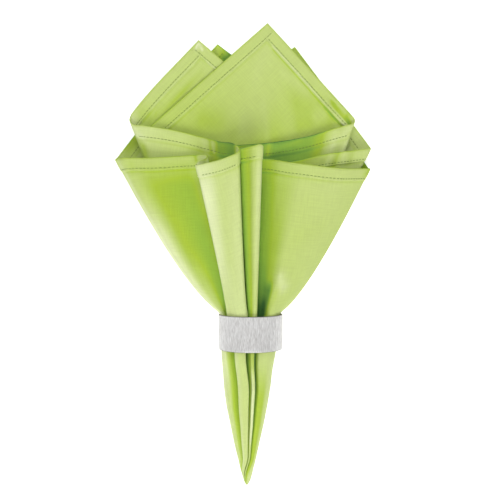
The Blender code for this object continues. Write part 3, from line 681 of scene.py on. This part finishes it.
stitching = {
    "pitch": 2.8,  # from one stitch to the next
    "length": 2.1,  # of the thread that shows
    "radius": 0.24,  # a real thread is nearer 0.15, too fine for the picture
    "rise": 0.16,  # of its middle above its ends
    "riseSpread": (0.7, 1.3),
    "unevenness": 0.0264,  # of a stitch's place, as a share of the pitch
    "seed": 11,
    "ends": (0.6, 3),  # from the hem's corner to the first stitch, and past the last one
    "lowest": 0.02,  # the table presses them flat
    "kept": (0.6, 1.5),  # one that is squeezed or stretched beyond this is left out
}


def lookUp(table, place, insets, at, inset):
    # The table's value at any place on the cloth, blended from the four columns and rows around it
    wide = np.concatenate([table, table[:, :1]], axis=1)
    column = np.interp(at % rimLength, np.append(place, rimLength), np.arange(wide.shape[1]))
    row = np.interp(inset, insets, np.arange(len(insets)))
    c = np.minimum(column.astype(int), wide.shape[1] - 2)
    r = np.minimum(row.astype(int), len(insets) - 2)
    u, v = column - c, row - r
    if table.ndim == 3:
        u, v = u[..., None], v[..., None]
    near = wide[r, c] * (1.0 - u) + wide[r, c + 1] * u
    far = wide[r + 1, c] * (1.0 - u) + wide[r + 1, c + 1] * u
    return near * (1.0 - v) + far * v


def seamPlace(side, along, inset):
    # A line parallel to one side of the flat square runs on over the next side's hem, so each
    # place is counted from the nearer of the two edges
    size = napkin["side"]
    inset = np.full_like(along, inset)
    beyond = size - along < inset
    depth = np.where(beyond, size - along, inset)
    across = np.where(beyond, inset - halfSide, along - halfSide)
    at = size * np.where(beyond, side + 1, side) + halfSide + across * halfSide / (halfSide - depth)
    return at, depth


def stitchLine(skin, outward, place, insets):
    # The thread at one face of the hem: a short capsule for each stitch, its axis from one hole to
    # the next plus rise sin(pi t) outwards, its radius the stitch's times sqrt(1 - (2t - 1)^4)
    rng = np.random.default_rng(stitching["seed"])
    t = np.linspace(0.0, 1.0, 6)
    first, last = stitching["ends"]
    middles, outs = [], []
    for side in range(4):
        starts = np.arange(napkin["hemWidth"] + first, napkin["side"] - last, stitching["pitch"])
        starts += rng.normal(0.0, stitching["unevenness"], len(starts)) * stitching["pitch"]
        along = starts[:, None] + t[None, :] * stitching["length"]
        at, inset = seamPlace(side, along, napkin["stitchInset"])
        middles.append(lookUp(skin, place, insets, at, inset))
        outs.append(lookUp(outward, place, insets, at, inset))
    middle, out = np.concatenate(middles), unitVectors(np.concatenate(outs))
    rise = stitching["rise"] * rng.uniform(*stitching["riseSpread"], (len(middle), 1))
    middle = middle + out * (rise * np.sin(math.pi * t))[..., None]
    run = middle[:, -1:] - middle[:, :1]
    side = unitVectors(np.cross(unitVectors(run), out))
    radius = stitching["radius"] * np.sqrt(np.clip(1.0 - (2.0 * t - 1.0) ** 4, 0.02, 1.0))
    turn = (np.arange(6) * math.tau / 6)[:, None]
    ring = np.cos(turn) * side[:, :, None, :] + np.sin(turn) * out[:, :, None, :]
    points = middle[:, :, None, :] + ring * radius[None, :, None, None]
    points[..., 2] = np.maximum(points[..., 2], stitching["lowest"])
    share = np.linalg.norm(run[:, 0], axis=1) / stitching["length"]
    least, most = stitching["kept"]
    return points[(share > least) & (share < most)]


hemEdge = {
    "step": 1.6,  # along the hem
    "end": 0.6,  # the ridge stops this far from the cloth's edge
    "across": (-0.75, -0.45, -0.15, 0.15, 0.35, 0.5, 0.45),  # places from the hem's inner edge
    "heights": (-0.06, 0.12, 0.26, 0.3, 0.26, 0.1, -0.35),  # above the skin at those places
    "fullness": (0.6, 0.5, 1.3, 1.2),  # how high it stands on each side of the cloth
    # painted light: the ridge is this much paler than the cloth beside it
    "bloom": 0.1,
    "lowest": 0.03,
    "breakAt": 3.2,  # no face is longer, so none crosses where the hem changes sides
}


def buildHemEdge(skins, outward, turned, place, insets, bloom, material):
    # The hem's sewn inner edge stands up as a narrow ridge: each row of it is a skin's point plus
    # its height along the normal. Each side's ridge runs on over the next side's hem to the
    # cloth's edge, as the corner was folded.
    pieces, tones, flats = [], [], []
    wide = len(hemEdge["across"])
    along = np.arange(napkin["hemWidth"], napkin["side"] - hemEdge["end"], hemEdge["step"])
    for side in range(4):
        rows = []
        for across, height in zip(hemEdge["across"], hemEdge["heights"]):
            at, inset = seamPlace(side, along, napkin["hemWidth"] + across)
            above = (np.interp(at % rimLength, place, turned) > 0.0)[:, None]
            out = unitVectors(lookUp(outward, place, insets, at, inset))
            upper, lower = (lookUp(skin, place, insets, at, inset) for skin in skins)
            rise = height * (hemEdge["fullness"][side] if height > 0.0 else 1.0)
            rows.append(np.where(above, upper + out * rise, lower - out * rise))
        at, inset = seamPlace(side, along, napkin["hemWidth"])
        # painted light and shade of the cloth there, plus the ridge's painted light
        tone = lookUp(bloom, place, insets, at, inset) + hemEdge["bloom"]
        flat = turnedBy(halfSide - napkin["hemWidth"], along - halfSide, 0.5 * math.pi * side)
        pieces.append(np.stack(rows, axis=1))
        tones.append(np.repeat(tone[:, None], wide, axis=1))
        flats.append(np.repeat(np.stack(flat, axis=1)[:, None], wide, axis=1))
    points = np.stack(pieces)
    points[..., 2] = np.maximum(points[..., 2], hemEdge["lowest"])
    gap = np.linalg.norm(np.diff(points[:, :, wide // 2], axis=1), axis=-1)
    index = np.arange(points[..., 0].size).reshape(4, len(along), wide)
    a, b, c, d = index[:, :-1, :-1], index[:, 1:, :-1], index[:, 1:, 1:], index[:, :-1, 1:]
    quads = np.stack([a, b, c, d], axis=-1)[gap < hemEdge["breakAt"]].reshape(-1, 4)
    uv = np.stack(flats) / napkin["side"] + 0.5
    seam = gridMesh("hemEdge", points, quads, material, uv, np.stack(tones))
    turnOutwards(seam)
    print("hem edge:", len(quads), "faces")
    return seam


def capsuleMesh(name, points, material):
    # Every capsule's rings of six joined to the next ring, and two flat faces closing each end
    count, rings, sides = points.shape[:3]
    index = np.arange(count * rings * sides).reshape(count, rings, sides)
    around = np.roll(index, -1, axis=2)
    wall = np.stack([index[:, :-1], around[:, :-1], around[:, 1:], index[:, 1:]], axis=-1)
    first, last = index[:, 0], index[:, -1]
    caps = [end[:, order] for end, order in (
        (first, [3, 2, 1, 0]), (first, [5, 4, 3, 0]), (last, [0, 1, 2, 3]), (last, [0, 3, 4, 5]),
    )]
    return gridMesh(name, points, np.concatenate([wall.reshape(-1, 4)] + caps), material)


def threadMaterial():
    # Spun polyester thread in the cloth's lime, a little darker, with a dull gloss
    material, _, shader = newMaterial("lime green sewing thread")
    shader.inputs["Base Color"].default_value = hexColour("#758F38")
    shader.inputs["Roughness"].default_value = 0.6
    return material


def noiseTone(tree, noises, low=0.0, high=1.0):
    # The sum of two noises, and the same with 0.7 to 1.3, where most of it lies, spread over
    # low to high
    both = addNode(tree, "Math", {0: noises[0], 1: noises[1]}, operation="ADD")
    tone = addNode(tree, "MapRange", {
        "Value": both, "From Min": 0.7, "From Max": 1.3, "To Min": low, "To Max": high,
    })
    return both, tone


cottonShadingColours = {  # painted shade in the folds' depths, the cloth's own lime at 0, painted light up to the palest lit crown
    -1.2: "#3E742C",
    -0.5: "#86B23A",
    0.0: "#A9C42E",
    1.0: "#C8D885",
    2.0: "#E6EFBA",
}


weave = {
    "pitch": 1.1,  # the real threads are 0.4 mm apart, drawn coarser so that they show
    "waviness": 0.6,
    "waveBand": 0.314,  # Blender's wave texture has one band in this length at scale 1
    "relief": 0.045,
    "slubWidth": 0.9,
    "slubLength": 14,
    "shade": 0.045,
}


def cottonMaterial():
    # Plain-woven cotton dyed lime green: matt, with slubs where a thread runs thick. Its colour is
    # read from bloom, the folds' and creases' painted light and shade: a pale painted
    # sheen on the lit crowns, clear strong colour in the folds, painted deep shade in their depths.
    material, tree, shader = newMaterial("lime green plain-weave cotton")
    stops = sorted(cottonShadingColours)
    low, high = stops[0], stops[-1]
    # the painted light and shade, one value a point, picks the colour from the ramp
    bloom = addNode(tree, "Attribute", attribute_name="bloom")
    paintedShadingTint = bloom.outputs["Fac"]
    span = addNode(tree, "MapRange", {"Value": paintedShadingTint, "From Min": low, "From Max": high})
    ramp = addNode(tree, "ValToRGB", {"Fac": span})
    while len(ramp.color_ramp.elements) < len(stops):
        ramp.color_ramp.elements.new(1.0)
    for element, stop in zip(ramp.color_ramp.elements, stops):
        element.position = (stop - low) / (high - low)
    for element, stop in zip(ramp.color_ramp.elements, stops):  # once all are in their order
        element.color = hexColour(cottonShadingColours[stop])
    flat = addNode(tree, "UVMap", uv_map="flat cloth")
    size = (napkin["side"], napkin["side"], 1.0)  # UV to millimetres
    spot = addNode(tree, "Mapping", {"Vector": flat, "Scale": size})
    long, thin = 1.0 / weave["slubLength"], 1.0 / weave["slubWidth"]
    bands = {"Vector": spot, "Scale": weave["waveBand"] / weave["pitch"], "Distortion": weave["waviness"]}
    threads, slubs = [], []
    for axis, scale in (("X", (thin, long, 1.0)), ("Y", (long, thin, 1.0))):  # warp, then weft
        wave = addNode(tree, "TexWave", bands, bands_direction=axis, wave_profile="SIN")
        stretch = addNode(tree, "Mapping", {"Vector": spot, "Scale": scale})
        threads.append(wave.outputs["Fac"])
        slubs.append(addNode(tree, "TexNoise", {"Vector": stretch, "Scale": 1.0, "Detail": 1.0}))
    knit = addNode(tree, "Math", {0: threads[0], 1: threads[1]}, operation="MULTIPLY")
    thick, tone = noiseTone(tree, slubs, 1.0 - weave["shade"], 1.0 + weave["shade"])
    shade = addNode(tree, "VectorMath", {0: ramp, "Scale": tone}, operation="SCALE")
    tree.links.new(shade.outputs["Vector"], shader.inputs["Base Color"])
    height = addNode(tree, "Math", {0: knit, 1: thick}, operation="ADD")
    bump = addNode(tree, "Bump", {"Height": height, "Distance": weave["relief"] * mm})
    tree.links.new(bump.outputs["Normal"], shader.inputs["Normal"])
    shader.inputs["Roughness"].default_value = 0.8
    shader.inputs["Sheen Weight"].default_value = 0.04
    shader.inputs["Sheen Roughness"].default_value = 0.8
    return material


band = {
    "radius": 24.1,
    "wall": 1.6,
    "centreX": 0.4,
    "axisHeight": 24,
    "lowest": 0.05,  # the side on the table is flattened a little
    "topY": -48,
    "length": 26,
    "sides": 192,
    "outerRows": 12,
    "innerRows": 6,
    "edgeSteps": 8,
    "crown": 0.1,  # the middle of the band stands this much fuller than its edges
}


def buildBand(material):
    # A turned band: the outer wall, a half round edge, the inner wall and the other edge make one
    # closed profile (radius, y), carried round the axis: x = r cos a, z = centre + r sin a
    half, length = 0.5 * band["wall"], band["length"]
    along = np.linspace(half, length - half, band["outerRows"])
    outer = band["radius"] - band["crown"] * (1.0 - np.sin(math.pi * along / length)) ** 2
    turn = np.linspace(0.0, math.pi, band["edgeSteps"] + 1)[1:-1]
    middle = outer[0] - half
    edge = np.stack([middle + half * np.cos(turn), half * np.sin(turn)], axis=1)
    start = np.stack([edge[::-1, 0], half - edge[::-1, 1]], axis=1)
    end = np.stack([edge[:, 0], length - half + edge[:, 1]], axis=1)
    inside = np.linspace(length - half, half, band["innerRows"])
    inner = np.stack([np.full_like(inside, middle - half), inside], axis=1)
    profile = np.concatenate([np.stack([outer, along], axis=1), end, inner, start])
    angle = np.arange(band["sides"]) * math.tau / band["sides"]
    radius, y = profile[:, :1], profile[:, 1:]
    x = band["centreX"] + radius * np.cos(angle)
    z = np.maximum(band["axisHeight"] + radius * np.sin(angle), band["lowest"])
    points = np.stack([x, band["topY"] - y + 0.0 * angle, z], axis=-1)
    index = np.arange(x.size).reshape(x.shape)
    ahead, around = np.roll(index, -1, axis=0), np.roll(index, -1, axis=1)
    quads = np.stack([index, ahead, np.roll(ahead, -1, axis=1), around], axis=-1).reshape(-1, 4)
    piece = gridMesh("brushedBand", points, quads, material)
    turnOutwards(piece)
    print("ring:", len(quads), "faces")
    return piece


steelBrush = {
    "strokes": ((0.34, 7, 0), (0.24, 3, 7)),  # width (real ones 0.1), length, shift
    "dark": "#C6C4C1",
    "pale": "#FFFFFE",
    "roughness": (0.42, 0.52),
    "relief": 0.02,
    "rim": "#6F6965",  # painted shade: a dark line along each rim, as wide as rimWidth
    "rimWidth": 0.8,
}


def steelMaterial():
    # Stainless steel brushed along the ring's axis: an even light grey with fine pale and dark
    # strokes from rim to rim, its reflections drawn out across the strokes
    material, tree, shader = newMaterial("brushed stainless steel")
    place = addNode(tree, "TexCoord")
    strokes = []
    for width, length, shift in steelBrush["strokes"]:
        spot = addNode(tree, "Mapping", {
            "Vector": place.outputs["Object"], "Location": (shift, shift, shift),
            "Scale": (1.0 / (width * mm), 1.0 / (length * mm), 1.0 / (width * mm)),
        })
        strokes.append(addNode(tree, "TexNoise", {"Vector": spot, "Scale": 1.0, "Detail": 2.0}))
    both, tone = noiseTone(tree, strokes)
    ramp = addNode(tree, "ValToRGB", {"Fac": tone})
    ramp.color_ramp.elements[0].color = hexColour(steelBrush["dark"])
    ramp.color_ramp.elements[1].color = hexColour(steelBrush["pale"])
    # painted shade: a dark line mixed over the strokes near each of the band's rims
    axes = addNode(tree, "SeparateXYZ", {0: place.outputs["Object"]})
    half = 0.5 * band["length"] * mm
    centre = band["topY"] * mm - half
    away = addNode(tree, "Math", {0: axes.outputs["Y"], 1: centre}, operation="SUBTRACT")
    away = addNode(tree, "Math", {0: away}, operation="ABSOLUTE")
    edge = addNode(tree, "MapRange", {
        "Value": away, "From Min": half - steelBrush["rimWidth"] * mm, "From Max": half,
    })
    rim = hexColour(steelBrush["rim"])
    rimShaded = addNode(tree, "MixRGB", {"Fac": edge, "Color1": ramp, "Color2": rim})
    tree.links.new(rimShaded.outputs["Color"], shader.inputs["Base Color"])
    low, high = steelBrush["roughness"]
    rough = addNode(tree, "MapRange", {"Value": strokes[1], "To Min": low, "To Max": high})
    tree.links.new(rough.outputs["Result"], shader.inputs["Roughness"])
    bump = addNode(tree, "Bump", {"Height": both, "Distance": steelBrush["relief"] * mm})
    tree.links.new(bump.outputs["Normal"], shader.inputs["Normal"])
    around = addNode(tree, "Tangent", direction_type="RADIAL", axis="Y")
    tree.links.new(around.outputs["Tangent"], shader.inputs["Tangent"])
    shader.inputs["Anisotropic"].default_value = 0.85
    shader.inputs["Metallic"].default_value = 0.55  # metal's 1 is darker here than the real one
    return material


cotton = cottonMaterial()
steel = steelMaterial()
cloth, thread, seam = buildNapkin(cotton)
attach(cloth, "root")
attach(thread, "root")
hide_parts("napkin")
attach(seam, "root")

ring = buildBand(steel)
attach(ring, "root")
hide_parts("ring")

# Floor, light and camera

lightTable = {"reach": 3, "colour": "#F4F4F4", "glow": 0.55}  # reach in metres
reach = lightTable["reach"]
corners = [(-reach, -reach, 0), (reach, -reach, 0), (reach, reach, 0), (-reach, reach, 0)]
floorMesh = bpy.data.meshes.new("floor")
floorMesh.from_pydata(corners, [], [(0, 1, 2, 3)])
floor = bpy.data.objects.new("floor", floorMesh)
bpy.context.scene.collection.objects.link(floor)
floorMaterial, _, floorShader = newMaterial("white opal acrylic, lit from below")
floorShader.inputs["Base Color"].default_value = hexColour(lightTable["colour"])
floorShader.inputs["Roughness"].default_value = 0.9
floorShader.inputs["Emission Color"].default_value = hexColour("#FFFFFF")
floorShader.inputs["Emission Strength"].default_value = lightTable["glow"]  # so shadows stay faint
floorMesh.materials.append(floorMaterial)


def softBox(name, place, size, power):  # a square lamp turned to the world's origin
    lamp = bpy.data.lights.new(name, "AREA")
    lamp.size = size
    lamp.energy = power
    obj = bpy.data.objects.new(name, lamp)
    obj.location = place
    obj.rotation_euler = (-Vector(place)).to_track_quat("-Z", "Y").to_euler()
    bpy.context.scene.collection.objects.link(obj)


studio = {  # name: place in metres, side of the square, watts
    "left softbox": ((-0.75, 0.1, 0.8), 0.6, 1.5),
    "right softbox": ((0.75, 0.1, 0.8), 0.6, 1.2),
    "near softbox": ((0, -0.75, 0.8), 0.6, 7),
    "far softbox": ((0, 0.75, 0.8), 0.6, 4),
    "overhead softbox": ((0, 0, 1.2), 0.8, 1),
}
roomLight = 0.22  # from all sides
for name, (place, size, power) in studio.items():
    softBox(name, place, size, power)

world = bpy.data.worlds.new("studio")
bpy.context.scene.world = world
world.use_nodes = True
room = world.node_tree.nodes["Background"]
room.inputs["Color"].default_value = hexColour("#FFFFFF")
room.inputs["Strength"].default_value = roomLight
bpy.context.scene.view_settings.view_transform = "Standard"

view = {"height": 540, "focalPixels": 687, "framePixels": 500, "sensor": 36}
cameraData = bpy.data.cameras.new("camera")
cameraData.sensor_width = view["sensor"]
cameraData.lens = view["sensor"] * view["focalPixels"] / view["framePixels"]
cameraData.clip_start, cameraData.clip_end = 0.01, 20.0
camera = bpy.data.objects.new("camera", cameraData)
camera.location = (0.0, 0.0, view["height"] * mm)
bpy.context.scene.collection.objects.link(camera)
bpy.context.scene.camera = camera
